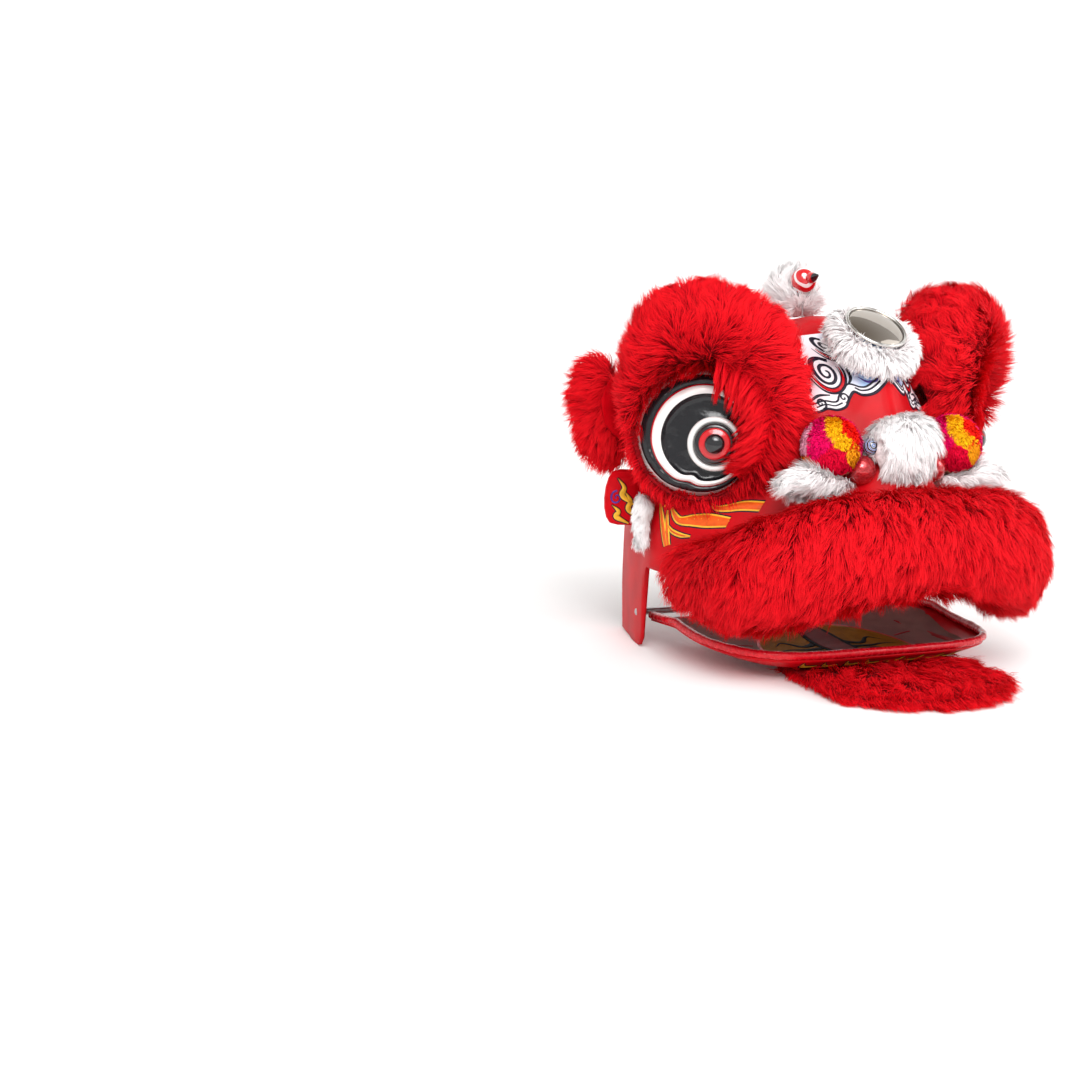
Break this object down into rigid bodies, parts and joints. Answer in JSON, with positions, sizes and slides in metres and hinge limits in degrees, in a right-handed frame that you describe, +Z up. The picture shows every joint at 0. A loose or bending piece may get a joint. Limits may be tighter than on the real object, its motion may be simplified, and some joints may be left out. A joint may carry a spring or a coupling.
{
  "type": "lion dance head",
  "caption": "Red lion dance head with fur brows, lip roll and beard, glossy eyes, a forehead mirror, pompoms, movable ears and a hinged painted jaw.",
  "frame": {"origin": "on the surface that the head lies on, under the middle of its bounding box", "axes": "+Z up; the face looks along -Y; +X is the viewer's right"},
  "size_m": [0.6647, 0.515, 0.5305],
  "materials": {
    "painted_shell": "painted papier-mache with scrolls and flames under a clear gloss",
    "board": "painted board",
    "red_fur": "long plush fur",
    "white_fur": "long white fur",
    "jaw_paint": "painted and lacquered",
    "vinyl": "glossy vinyl binding",
    "eye_black": "vacuum-formed gloss",
    "eye_white": "gloss paint",
    "eye_red": "gloss paint",
    "mirror": "domed chrome mirror",
    "steel": "plain wire",
    "yarn": "cut pile in magenta, yellow, red and pink"
  },
  "bodies": {
    "head": {"brow_fur_left": "red_fur", "brow_fur_right": "red_fur", "cheek_fin_left": "painted_shell", "cheek_fin_right": "painted_shell", "cheek_strip_left": "white_fur", "cheek_strip_right": "white_fur", "ear_pin_left": "steel", "ear_pin_right": "steel", "eye_bead_left": "eye_black", "eye_bead_right": "eye_black", "eye_dome_left": "eye_black", "eye_dome_right": "eye_black", "eye_iris_left": "eye_red", "eye_iris_right": "eye_red", "eye_plate_left": "eye_black", "eye_plate_right": "eye_black", "eye_ring_left": "eye_white", "eye_ring_right": "eye_white", "head_shell": "painted_shell", "horn_bead": "eye_red", "horn_fur": "white_fur", "horn_stem": "steel", "horn_tip": "eye_black", "jaw_rod": "steel", "lip_board": "board", "mirror": "mirror", "mirror_fur": "white_fur", "mirror_rim": "mirror", "moustache_left": "white_fur", "moustache_right": "white_fur", "nose_fur": "white_fur", "nostril_knob_left": "eye_white", "nostril_knob_right": "eye_white", "nostril_left": "eye_red", "nostril_right": "eye_red", "pompom_left": "yarn", "pompom_right": "yarn", "pompom_spring_left": "steel", "pompom_spring_right": "steel", "upper_lip_fur": "red_fur"},
    "jaw": {"jaw_tray": "jaw_paint", "jaw_binding": "vinyl", "beard_fur": "red_fur"},
    "ear_left": {"ear_fur_left": "red_fur", "ear_leaf_left": "painted_shell"},
    "ear_right": {"ear_fur_right": "red_fur", "ear_leaf_right": "painted_shell"}
  },
  "joints": [
    {"name": "jaw_hinge", "type": "hinge", "parent": "head", "child": "jaw", "pos_m": [0, 0.1675, 0.046], "axis": [1, 0, 0], "range_deg": [0, 30]},
    {"name": "ear_hinge_left", "type": "hinge", "parent": "head", "child": "ear_left", "pos_m": [-0.238, 0.1945, 0.335], "axis": [1, 0, 0], "range_deg": [-8, 8]},
    {"name": "ear_hinge_right", "type": "hinge", "parent": "head", "child": "ear_right", "pos_m": [0.238, 0.1945, 0.335], "axis": [1, 0, 0], "range_deg": [-8, 8]}
  ]
}
